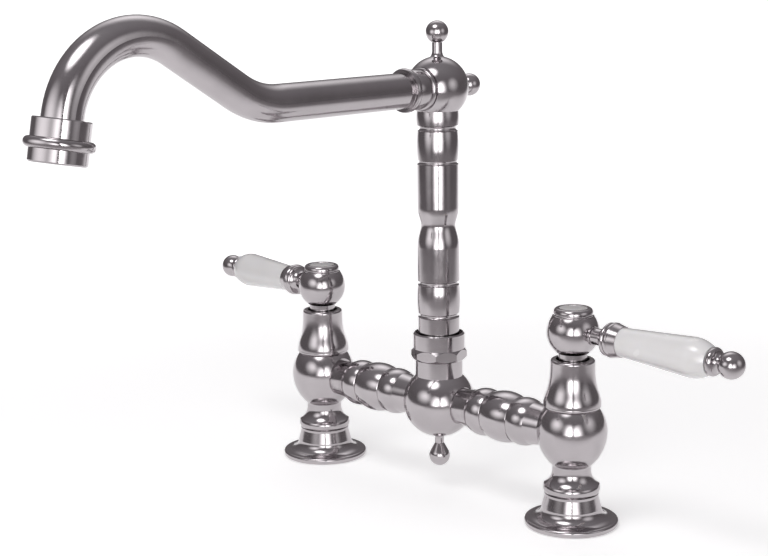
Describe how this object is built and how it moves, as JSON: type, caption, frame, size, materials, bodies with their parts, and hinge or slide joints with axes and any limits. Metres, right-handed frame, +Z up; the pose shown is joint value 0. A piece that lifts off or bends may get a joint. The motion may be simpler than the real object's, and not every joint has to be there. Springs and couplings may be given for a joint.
{
  "type": "kitchen faucet",
  "caption": "Deck-mounted bridge kitchen faucet with a swivel gooseneck spout on a turned column and porcelain lever handles.",
  "frame": {"origin": "on the deck, midway between the centres of the two valve inlets, under the column", "axes": "+Z up from the deck, +X along the bridge to the right-hand valve as the user sees it, -Y the way the spout points at rest, towards the user"},
  "size_m": [0.4259, 0.3202, 0.2952],
  "materials": {
    "chrome": "polished chrome plate on brass",
    "brass": "machined, bare",
    "steel": "plain stainless",
    "disc_ceramic": "lapped alumina",
    "porcelain": "gloss white glaze",
    "rubber": "matt black",
    "nylon": "natural moulded"
  },
  "bodies": {
    "base": {"arm_o_rings": "rubber", "base_gaskets": "rubber", "bottom_finial": "chrome", "cartridge_o_rings": "rubber", "cartridge_seals": "rubber", "centre_hub": "chrome", "dust_rings": "chrome", "left_base_flange": "chrome", "left_bonnet": "chrome", "left_bridge_arm": "chrome", "left_cartridge_body": "brass", "left_fixed_disc": "disc_ceramic", "left_valve_body": "chrome", "right_base_flange": "chrome", "right_bonnet": "chrome", "right_bridge_arm": "chrome", "right_cartridge_body": "brass", "right_fixed_disc": "disc_ceramic", "right_valve_body": "chrome", "slip_washer": "nylon", "union_nut": "chrome"},
    "spout": {"column": "chrome", "column_o_rings": "rubber", "retaining_ring": "nylon", "head_ball": "chrome", "top_finial": "chrome", "side_finial": "chrome", "spout_collar": "chrome", "spout_tube": "chrome", "outlet_collar": "chrome", "aerator_housing": "chrome", "aerator_washer": "rubber", "aerator_insert": "nylon"},
    "left_lever": {"left_moving_disc": "disc_ceramic", "left_spindle": "brass", "left_spindle_o_ring": "rubber", "left_spindle_clip": "steel", "left_lever_hub": "chrome", "left_hub_screw": "steel", "left_index_cap": "chrome", "left_index_disc": "porcelain", "left_lever_rod": "steel", "left_lever_ferrule": "chrome", "left_lever_handle": "porcelain", "left_handle_end_cap": "chrome"},
    "right_lever": {"right_moving_disc": "disc_ceramic", "right_spindle": "brass", "right_spindle_o_ring": "rubber", "right_spindle_clip": "steel", "right_lever_hub": "chrome", "right_hub_screw": "steel", "right_index_cap": "chrome", "right_index_disc": "porcelain", "right_lever_rod": "steel", "right_lever_ferrule": "chrome", "right_lever_handle": "porcelain", "right_handle_end_cap": "chrome"}
  },
  "joints": [
    {"name": "spout_swivel", "type": "hinge", "parent": "base", "child": "spout", "pos_m": [0, 0, 0.08575], "axis": [0, 0, 1], "continuous": true},
    {"name": "left_lever_turn", "type": "hinge", "parent": "base", "child": "left_lever", "pos_m": [-0.1016, 0, 0.0996], "axis": [0, 0, 1], "range_deg": [0, 90]},
    {"name": "right_lever_turn", "type": "hinge", "parent": "base", "child": "right_lever", "pos_m": [0.1016, 0, 0.0996], "axis": [0, 0, 1], "range_deg": [-90, 0]}
  ]
}
